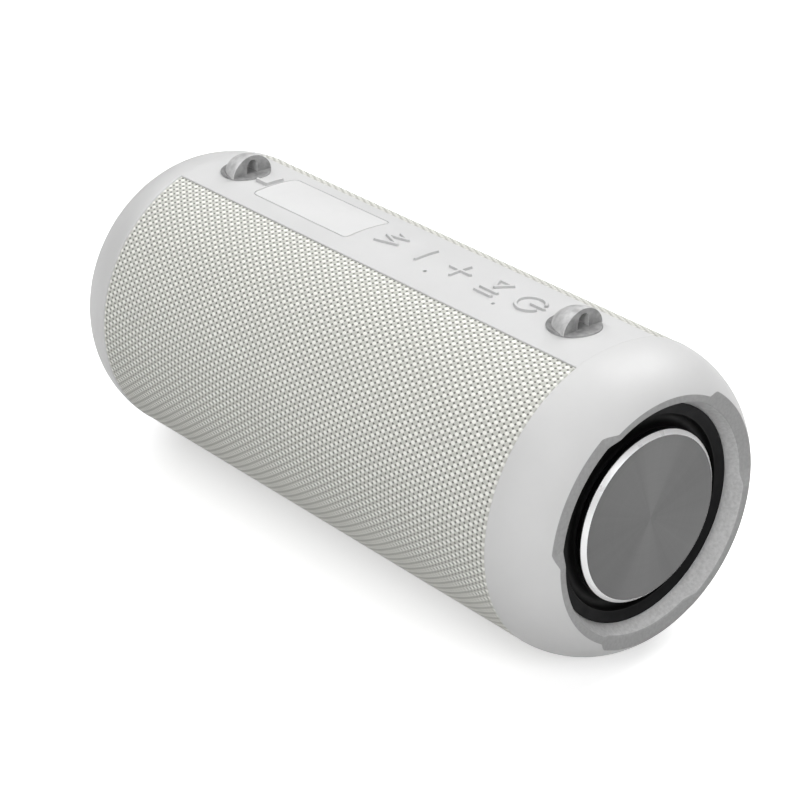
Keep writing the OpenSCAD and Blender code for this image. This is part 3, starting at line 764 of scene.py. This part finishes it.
def strip_features(x, y):
    """Raised and sunk detail on the strip, outside the keys."""
    h = np.zeros_like(x)
    h += ridge(np.minimum(seg_sdf(x, y, (-55.9, -1.9), (-52.2, -1.9)), seg_sdf(x, y, (-52.2, -1.9), (-52.2, 3.2))) - STROKE / 2 - 0.06, 0.80)
    dp = rrect_sdf(x - PANEL[0], y - PANEL[1], PANEL[2], PANEL[3], PANEL[4])
    h -= 0.34 * np.clip(1 - (np.abs(dp) / 0.19) ** 2, 0, 1) ** 0.6
    for cx in (MIC_X, LED_X):
        r = np.hypot(x - cx, y - DOT_Y)
        h -= 0.9 * (1 - smooth(0.36, 0.52, r))
    return h, dp


def strip_top():
    # X lines
    xs = merge(
        np.array([-75, -74.93, -74.8, -74.5, 75, 74.93, 74.8, 74.5], float),
        fine(-74, 74, 1.0),
        fine(-56.6, -51.4, 0.12),
        fine(-51.7, -49.2, 0.10),
        fine(-15.0, -12.6, 0.10),
        fine(MIC_X - 0.7, MIC_X + 0.7, 0.10),
        fine(LED_X - 0.7, LED_X + 0.7, 0.10),
        tol=0.05,
    )
    cuts = sorted({round(k + s * KW, 4) for k in KEY_X for s in (-1, 1)})
    xs = xs[np.min(np.abs(xs[:, None] - np.array(cuts)[None]), axis=1) > 0.045]
    xs = np.unique(np.concatenate([xs, cuts]))
    ys = merge(
        fine(-12, 12, 0.5),
        fine(-2.6, 3.8, 0.12),
        fine(5.6, 7.8, 0.10),
        fine(-7.8, -5.6, 0.10),
        tol=0.05,
    )
    ys = ys[np.min(np.abs(ys[:, None] - np.array([-KH, KH])[None]), axis=1) > 0.045]
    ymax = RB * math.sin(STRIP)
    ys = np.unique(np.concatenate([ys, [-KH, KH], np.array([-1, 1]) * (ymax), np.array([-1, 1]) * (ymax - 0.01), np.array([-1, 1]) * (ymax - 0.045), np.array([-1, 1]) * (ymax - 0.10), np.array([-1, 1]) * (ymax - 0.25), np.array([-1, 1]) * (ymax - 0.5)]))
    XX, YY = np.meshgrid(xs, ys, indexing="ij")
    f, dp = strip_features(XX, YY)
    ed = ymax - np.abs(YY)
    roll = -(0.16 - np.sqrt(np.clip(0.16 ** 2 - np.clip(0.16 - ed, 0, 0.16) ** 2, 0, None)))
    roll = np.maximum(roll, -0.16)
    ZZ = crown_z(YY) + f + roll
    top = np.stack([XX, YY, ZZ], -1)
    phi = np.arctan2(YY, crown_z(YY))
    bot = np.stack([XX, 36.62 * np.sin(phi), 36.62 * np.cos(phi)], -1)
    cx = (XX[:-1, :-1] + XX[1:, 1:]) / 2
    cy = (YY[:-1, :-1] + YY[1:, 1:]) / 2
    keys = np.zeros(cx.shape, bool)
    for k in KEY_X:
        keys |= (np.abs(cx - k) < KW) & (np.abs(cy) < KH)
    cell = (dp[:-1, :-1] + dp[1:, 1:] + dp[1:, :-1] + dp[:-1, 1:]) / 4
    inlay = cell < 0
    ob = slab("strip_skin", top, bot, M_STRIP, mask=~keys & ~inlay, hard=38)
    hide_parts("control_strip")
    bi = bot.copy()
    bi[..., 2] = np.minimum(top[..., 2] - 0.4, crown_z(YY) - 1.5)
    bi[..., :2] = top[..., :2]
    ob = slab("inlay_skin", top, bi, M_INLAY, mask=inlay, hard=38)
    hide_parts("top_inlay")


strip_top()


def key_skin(kind, kx):
    xs = np.linspace(-KW, KW, 157)
    ys = np.linspace(-KH, KH, 139)
    XX, YY = np.meshgrid(xs, ys, indexing="ij")
    d = glyph_sdf(kind, XX, YY)
    f = ridge(d)
    # a stroke never reaches the rim of its patch
    f = f * smooth(0.0, 0.12, np.minimum(KW - np.abs(XX), KH - np.abs(YY)))
    extra, _ = strip_features(XX + kx, YY)
    q = ((np.abs(XX) / (KW - 0.05)) ** 4 + (np.abs(YY) / (KH - 0.05)) ** 4) ** 0.25
    w = 1 - smooth(0.87, 1.0, q)
    top = np.stack([XX + kx, YY, crown_z(YY) + f + extra], -1)
    zb = crown_z(YY) - 0.55 - 1.75 * smooth(0.10, 0.55, w)
    zb = np.where(np.hypot(XX, YY) < 1.7, 34.62, zb)
    bot = np.stack([XX + kx, YY, zb], -1)
    ob = slab("key_skin_" + kind, top, bot, M_KEY, body=None, hard=38)
    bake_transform(ob)
    co = np.zeros(len(ob.data.vertices) * 3, np.float32)
    ob.data.vertices.foreach_get("co", co)
    co = co.reshape(-1, 3) * 1000.0
    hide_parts("key_" + kind)


for kind, kx in zip(KEYS, KEY_X):
    key_skin(kind, kx)


# ------------------------------------------------------------------ bottom strip and feet
def strip_bottom():
    xs = np.unique(np.concatenate([[-75, -74.8, -74.5, 74.5, 74.8, 75], fine(-74, 74, 2.0)]))
    half = STRIP
    t = np.linspace(-half, half, 49)
    t = np.unique(np.concatenate([t, np.array([-1, 1]) * (half - 0.0006), np.array([-1, 1]) * (half - 0.0025), np.array([-1, 1]) * (half - 0.006), np.array([-1, 1]) * (half - 0.012)]))
    XX, TT = np.meshgrid(xs, t, indexing="ij")
    ed = (half - np.abs(TT)) * RB
    roll = -(0.30 - np.sqrt(np.clip(0.30 ** 2 - np.clip(0.30 - ed, 0, 0.30) ** 2, 0, None)))
    rr = RB + roll
    top = np.stack([XX, rr * np.sin(TT), -rr * np.cos(TT)], -1)
    bot = np.stack([XX, 36.62 * np.sin(TT), -36.62 * np.cos(TT)], -1)
    ob = slab("base_skin", top, bot, M_STRIP, hard=38)
    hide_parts("base_strip")


strip_bottom()


def pad_outline(l, w, n=20):
    a = np.concatenate([np.linspace(-math.pi / 2, math.pi / 2, n), np.linspace(math.pi / 2, 3 * math.pi / 2, n)])
    c = np.concatenate([np.full(n, (l - w) / 2), np.full(n, -(l - w) / 2)])
    return np.stack([c + w / 2 * np.cos(a), w / 2 * np.sin(a)], -1), np.stack([np.cos(a), np.sin(a)], -1)


def feet():
    verts, F4, F3 = [], [], []
    n0 = 0
    for fx in (-52, 52):
        for fy in (-8.4, 8.4):
            o, nn = pad_outline(24, 6)
            m = len(o)
            rings = []
            for z, inset in ((3.0, 0.0), (1.0, 0.0), (0.45, 0.03), (0.18, 0.16), (0.04, 0.38), (0.0, 0.62), (0.0, 1.3), (0.12, 1.55), (0.12, 2.2)):
                p = o - nn * inset
                rings.append(np.column_stack([p[:, 0] + fx, p[:, 1] + fy, np.full(m, z - AX)]))
            R = np.concatenate(rings)
            k = len(rings)
            idx = np.arange(k * m).reshape(k, m) + n0
            nxt = np.roll(idx, -1, axis=1)
            F4.append(np.stack([idx[:-1], nxt[:-1], nxt[1:], idx[1:]], -1).reshape(-1, 4))
            verts.append(R)
            for ring, z in ((0, 3.0), (k - 1, 0.12)):
                c = n0 + k * m + (0 if ring == 0 else 1)
                tri = np.stack([idx[ring], nxt[ring], np.full(m, c)], -1)
                F3.append(tri[:, ::-1] if ring == 0 else tri)
            verts.append(np.array([[fx, fy, 3.0 - AX], [fx, fy, 0.12 - AX]]))
            n0 += k * m + 2
    ob = build("foot_pads", np.concatenate(verts), [np.concatenate(F4), np.concatenate(F3)], M_FOOT, hard=50)
    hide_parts("rubber_feet")


feet()

# ------------------------------------------------------------------ end radiators
for sd, sx in (("right", 1), ("left", -1)):
    flip = (lambda V, s=sx: V * np.array([s, 1, 1]))
    prof = rounded([(86.2, 0.0), (86.2, 21.2), (86.9, 21.91), (88.06, 21.91), (89.03, 20.84), (89.03, 0.0)], [0, 0.2, 0.2, 0.18, 0.14, 0], 4)
    face = [(89.03, r) for r in (17.0, 12.0, 7.0, 3.0, 1.0)]
    prof = prof[:-1] + face + [prof[-1]]
    ob = lathe("spun_disc_" + sd, prof, M_DISC, body="radiator_" + sd, n=288, place=flip, hard=24)
    ob.data.materials.append(M_CUT_HIGHLIGHT)
    pc = np.zeros(len(ob.data.polygons) * 3, np.float32)
    ob.data.polygons.foreach_get("center", pc)
    pc = pc.reshape(-1, 3) * 1000.0
    pr = np.hypot(pc[:, 1], pc[:, 2] - AX)
    ob.data.polygons.foreach_set("material_index", ((pr > 20.84) & (np.abs(pc[:, 0]) > 88.0)).astype(np.int32))
    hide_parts("radiator_disc_" + sd)
    # the rubber roll between the ring and the disc
    outer, inner = [], []
    outer += [(86.02, 25.35), (86.00, 25.00), (85.75, 24.88)]
    for k in range(13):
        a = math.pi * k / 12
        outer.append((85.45 - 1.5 * math.sin(a), 23.45 + 1.38 * math.cos(a)))
    outer += [(85.8, 21.98), (86.12, 21.86), (86.15, 21.2)]
    inner = [(85.5, 21.2), (85.2, 21.6)]
    for k in range(13):
        a = math.pi * (12 - k) / 12
        inner.append((85.0 - 1.75 * math.sin(a), 23.45 + 1.72 * math.cos(a)))
    inner += [(85.1, 25.35)]
    prof = [(x, r) for x, r in outer + inner]
    ob = lathe("roll_skin_" + sd, prof, M_ROLL, body=None, n=256, place=flip, hard=60)
    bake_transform(ob)
    co = np.zeros(len(ob.data.vertices) * 3, np.float32)
    ob.data.vertices.foreach_get("co", co)
    co = co.reshape(-1, 3) * 1000.0
    rad = np.hypot(co[:, 1], co[:, 2] - AX)
    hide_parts("radiator_surround_" + sd)
    # front of the black frame
    prof = rounded([(86.82, 27.80), (86.02, 25.12), (85.0, 25.12), (85.0, 26.4), (68.0, 26.4), (68.0, 35.0), (70.0, 35.0), (70.0, 27.80)], [0.18, 0.22, 0, 0, 0, 0.3, 0.3, 0], 4)
    ob = lathe("ring_frame_" + sd, prof, M_RING, n=256, place=flip, hard=35)
    V = ob.data.vertices
    # its flange is cut flat on top, under the key board
    co = np.zeros(len(V) * 3, np.float32)
    V.foreach_get("co", co)
    co = co.reshape(-1, 3)
    rad = np.hypot(co[:, 1], co[:, 2] - AX * 0.001)
    low = (rad > 0.0285) & (co[:, 2] > 0.070)
    co[low, 2] = 0.070
    V.foreach_set("co", co.reshape(-1))
    ob.data.update()
    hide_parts("radiator_frame_" + sd)


# ------------------------------------------------------------------ strap lugs
LUG_R, LUG_T = 6.72, 0.32
LUG_XF, LUG_DEPTH, LUG_B, LUG_H = 2.95, 8.4, 6.45, 5.30
HOLE_W, HOLE_H = 3.5, 3.7


def plain(name, verts, faces):
    me = bpy.data.meshes.new(name)
    me.from_pydata([tuple(map(float, v)) for v in verts], [], [tuple(map(int, f)) for f in faces])
    me.validate()
    ob = bpy.data.objects.new(name, me)
    scene.collection.objects.link(ob)
    return ob


def prism(rings):
    """Rings of points joined one to the next, with both ends closed by one face each."""
    k, m = len(rings), len(rings[0])
    idx = np.arange(k * m).reshape(k, m)
    nxt = np.roll(idx, -1, axis=1)
    faces = np.stack([idx[:-1], idx[1:], nxt[1:], nxt[:-1]], -1).reshape(-1, 4).tolist()
    faces += [idx[0].tolist(), idx[-1][::-1].tolist()]
    return np.concatenate(rings), faces


def lug(name, cx, node):
    # half dome with a flat face toward +X
    m = 57
    t = np.linspace(0, math.pi, m)
    c, s = np.cos(t), np.sin(t)
    n = 1.85
    shape_y = -np.sign(c) * np.abs(c) ** (2 / n)
    shape_z = np.abs(s) ** (2 / n)
    rings = []
    xs = [(LUG_XF, 0.26), (LUG_XF - 0.04, 0.14), (LUG_XF - 0.12, 0.05), (LUG_XF - 0.28, 0.0)]
    back = [(LUG_XF - LUG_DEPTH * math.sin(math.radians(d)), 0.0) for d in (6, 12, 18, 24, 30, 36, 42, 48, 54, 60, 66, 72, 77, 82, 86, 88.5)]
    for x, inset in xs + back:
        k = math.sqrt(max(0.0, 1 - ((LUG_XF - x) / LUG_DEPTH) ** 2))
        f = 1 - inset / LUG_B
        rings.append(np.column_stack([np.full(m, x), shape_y * LUG_B * k * f, shape_z * LUG_H * k * f]))
    V, F = prism(rings)
    dome = plain("lug_tmp_dome", V, F)
    hw = HOLE_W / 2
    q = np.linspace(0, math.pi, 25)
    outline = [(-hw, LUG_T)] + [(-hw * math.cos(a), LUG_T + HOLE_H - hw + hw * math.sin(a)) for a in q] + [(hw, LUG_T)]
    ends = [np.column_stack([np.full(len(outline), x), np.array(outline)]) for x in (-9.0, 9.0)]
    V, F = prism(ends)
    cutter = plain("lug_tmp_cutter", V, F)
    import bmesh
    for o in (dome, cutter):
        bm = bmesh.new()
        bm.from_mesh(o.data)
        bmesh.ops.recalc_face_normals(bm, faces=bm.faces)
        bm.to_mesh(o.data)
        bm.free()
    mod = dome.modifiers.new("cut", "BOOLEAN")
    mod.operation = "DIFFERENCE"
    mod.solver = "EXACT"
    mod.object = cutter
    dg = bpy.context.evaluated_depsgraph_get()
    cut = bpy.data.meshes.new_from_object(dome.evaluated_get(dg))
    verts = np.array([v.co[:] for v in cut.vertices]) + (cx, 0, TOPZ)
    groups = {}
    cut.calc_loop_triangles()
    for tri in cut.loop_triangles:
        groups.setdefault(3, []).append(tuple(tri.vertices))
    for o in (dome, cutter):
        bpy.data.objects.remove(o)
    # flange: a low round button
    ztop = TOPZ + LUG_T
    prof = [(0.0, 38.7), (LUG_R, 38.7), (LUG_R, ztop - 0.42), (LUG_R - 0.05, ztop - 0.22), (LUG_R - 0.18, ztop - 0.07), (LUG_R - 0.38, ztop), (4.5, ztop + 0.01), (2.0, ztop + 0.01), (0.0, ztop + 0.01)]
    n = 112
    a = np.arange(n) * 2 * math.pi / n
    fv, rows = [], []
    base = len(verts)
    for r, z in prof:
        rows.append(("p" if r == 0 else "r", base + len(fv)))
        if r == 0:
            fv.append((cx, 0.0, z))
        else:
            fv.extend([(cx + r * math.cos(u), r * math.sin(u), z) for u in a])
    j = np.arange(n)
    k = (j + 1) % n
    F4, F3 = [], [np.array(groups[3])]
    for i in range(len(rows) - 1):
        (ta, p), (tb, r) = rows[i], rows[i + 1]
        if ta == "r" and tb == "r":
            F4.append(np.stack([p + j, p + k, r + k, r + j], -1))
        elif ta == "p":
            F3.append(np.stack([np.full(n, p), r + k, r + j], -1))
        else:
            F3.append(np.stack([p + j, p + k, np.full(n, r)], -1))
    ob = build(name, np.concatenate([verts, np.array(fv)]), [np.concatenate(F4), np.concatenate(F3)], M_LUG, hard=38)
    for m in (M_LUG_FACE_SHADED, M_LUG_HOLE_SHADED, M_LUG_COLLAR_SHADED):
        ob.data.materials.append(m)
    # the flat face and the flange get darker copies of the lug metal, painted shade; the hole is darker still, painted
    # shade inside it; the dome is polished
    V = ob.data.vertices
    in_hole = [abs(v.co.y * 1000) < HOLE_W / 2 + 0.02 and v.co.z * 1000 < TOPZ + LUG_T + HOLE_H + 0.02 for v in V]
    which = [3 if min(p.vertices) >= base else 2 if all(in_hole[i] for i in p.vertices) else 1 if p.normal.x > 0.9 else 0 for p in ob.data.polygons]
    ob.data.polygons.foreach_set("material_index", which)
    bm = bmesh.new()
    bm.from_mesh(ob.data)
    bmesh.ops.recalc_face_normals(bm, faces=bm.faces)
    bm.to_mesh(ob.data)
    bm.free()
    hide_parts(node)


lug("lug_arch_right", 61.2, "strap_lug_right")
lug("lug_arch_left", -63.6, "strap_lug_left")

# ------------------------------------------------------------------ finishes of the carried-over CAD pieces
FINISH = {
    "grille_frame_front": M_DARK, "grille_frame_rear": M_DARK, "lug_screws": M_STEEL,
    "plunger_mode": M_JACK, "plunger_minus": M_JACK, "plunger_plus": M_JACK, "plunger_play": M_JACK, "plunger_power": M_JACK,
    "switch_bodies": M_STEEL, "key_board": M_BOARD, "microphone": M_GOLD, "led_light_pipe": M_PIPE,
    "enclosure_front": M_DARK, "enclosure_rear": M_DARK, "radiator_weight_right": M_ZINC, "radiator_weight_left": M_ZINC,
    "frame_screws": M_STEEL, "driver_basket_right": M_DARK, "driver_basket_left": M_DARK, "driver_top_plates": M_ZINC,
    "driver_magnets": M_FERR, "driver_yokes": M_ZINC, "driver_cone_right": M_CONE, "driver_cone_left": M_CONE,
    "driver_surround_right": M_ROLL, "driver_surround_left": M_ROLL, "voice_coil_right": M_COIL, "voice_coil_left": M_COIL,
    "driver_screws": M_STEEL, "battery_cells": M_WRAP, "battery_cradle": M_DARK, "main_board": M_BOARD,
    "port_bezel": M_CAP, "port_flap": M_FLAP, "flap_pin": M_STEEL, "usb_c_socket": M_STEEL, "aux_jack": M_JACK,
}
for name, mat in FINISH.items():
    o = NODES[name]
    o.data.materials.clear()
    o.data.materials.append(mat)
for name, o in NODES.items():
    if name not in FINISH:
        o.data.materials.clear()
        o.data.materials.append(M_DARK)

# ------------------------------------------------------------------ studio
BOUNCE = 0.47
fm, fnt, fb = nodes_of("studio_floor")
fg = G(fnt)
fn = fg.noise(fg.obj(), 3.0, 3.0, 0.5)
fg.link(fg.mix(fg.mapr(fn, 0.3, 0.7, 0.0, 1.0), (0.93, 0.93, 0.93), (0.95, 0.95, 0.95)), fb.inputs["Base Color"])
fb.inputs["Roughness"].default_value = 0.9
fb.inputs["Emission Color"].default_value = (1, 1, 1, 1)
# the floor stays pale out to its edge, well beyond the reach of the lights
far = fg.put("ShaderNodeVectorMath")
far.operation = "LENGTH"
fg.link(fg.obj(), far.inputs[0])
fg.link(fg.mapr(far.outputs["Value"], 0.6, 1.7, 0.48, 0.95, "SMOOTHSTEP"), fb.inputs["Emission Strength"])
fb.inputs["Specular IOR Level"].default_value = 0.0
me = bpy.data.meshes.new("floor")
me.from_pydata([(-9, -9, 0), (9, -9, 0), (9, 9, 0), (-9, 9, 0)], [], [(0, 1, 2, 3)])
floor = bpy.data.objects.new("floor", me)
scene.collection.objects.link(floor)
me.materials.append(fm)
# what the camera sees of the floor stays near white; how much of it comes back up is set by the sheet just below
floor.visible_diffuse = False
floor.visible_shadow = False
um, unt, ub = nodes_of("studio_bounce")
ug = G(unt)
un = ug.noise(ug.obj(), 3.0, 3.0, 0.5)
ug.link(ug.mix(ug.mapr(un, 0.3, 0.7, 0.0, 1.0), (BOUNCE - 0.01,) * 3, (BOUNCE + 0.01,) * 3), ub.inputs["Base Color"])
ub.inputs["Roughness"].default_value = 0.9
ub.inputs["Specular IOR Level"].default_value = 0.0
me = bpy.data.meshes.new("bounce")
me.from_pydata([(-6, -6, -0.0006), (6, -6, -0.0006), (6, 6, -0.0006), (-6, 6, -0.0006)], [], [(0, 1, 2, 3)])
bounce = bpy.data.objects.new("bounce", me)
scene.collection.objects.link(bounce)
me.materials.append(um)
bounce.visible_camera = False
bounce.visible_glossy = False
bounce.visible_transmission = False
bounce.visible_shadow = False

# a pale wall far behind, which adds no light
bm_, bnt, bb = nodes_of("studio_wall")
bg_ = G(bnt)
bn = bg_.noise(bg_.obj(), 0.5, 2.0, 0.5)
bg_.link(bg_.mix(bg_.mapr(bn, 0.3, 0.7, 0.0, 1.0), (0.97, 0.97, 0.97), (1.0, 1.0, 1.0)), bb.inputs["Emission Color"])
bb.inputs["Base Color"].default_value = (0, 0, 0, 1)
bb.inputs["Emission Strength"].default_value = 0.95
bb.inputs["Specular IOR Level"].default_value = 0.0
wn = 96
wall = bpy.data.meshes.new("wall")
wv = [(8.8 * math.cos(2 * math.pi * i / wn), 8.8 * math.sin(2 * math.pi * i / wn), z) for z in (0.0, 9.0) for i in range(wn)]
wall.from_pydata(wv, [], [(i, (i + 1) % wn, wn + (i + 1) % wn, wn + i) for i in range(wn)])
backdrop = bpy.data.objects.new("wall", wall)
scene.collection.objects.link(backdrop)
wall.materials.append(bm_)
backdrop.visible_diffuse = False
backdrop.visible_glossy = False
backdrop.visible_transmission = False
backdrop.visible_shadow = False


def area(name, loc, target, size, power, color=(1, 1, 1)):
    L = bpy.data.lights.new(name, "AREA")
    L.shape = "RECTANGLE"
    L.size, L.size_y = size
    L.energy = power
    L.color = color
    o = bpy.data.objects.new(name, L)
    scene.collection.objects.link(o)
    o.location = loc
    o.rotation_mode = "QUATERNION"
    o.rotation_quaternion = (Vector(target) - Vector(loc)).to_track_quat("-Z", "Y")
    return o


area("top_soft", (0.0, 0.0, 1.3), (0, 0, 0.04), (1.2, 1.2), 1.2)
area("top_left", (-0.8, -0.2, 1.1), (0, 0, 0.04), (0.9, 0.9), 8.0)
area("top_back", (0.0, 0.9, 1.1), (0, 0, 0.04), (0.9, 0.9), 14.2)
area("key_high", (0.44, -0.63, 0.68), (0, 0, 0.04), (0.5, 0.5), 3.4)
area("key_low", (0.25, -0.93, 0.30), (0, 0, 0.04), (0.5, 0.5), 2.1)
area("right_card", (1.3, 0.0, 0.6), (0, 0, 0.04), (0.5, 0.5), 4.5)
area("back_card", (0.9, 1.0, 0.35), (0, 0, 0.04), (0.5, 0.4), 0.25)

world = bpy.data.worlds.new("studio")
scene.world = world
world.use_nodes = True
bg = world.node_tree.nodes.get("Background") or world.node_tree.nodes.new("ShaderNodeBackground")
bg.inputs[0].default_value = (1, 1, 1, 1)
bg.inputs[1].default_value = 0.0
scene.view_settings.view_transform = "Standard"
scene.view_settings.look = "None"
scene.view_settings.exposure = 0.0
scene.view_settings.gamma = 1.0
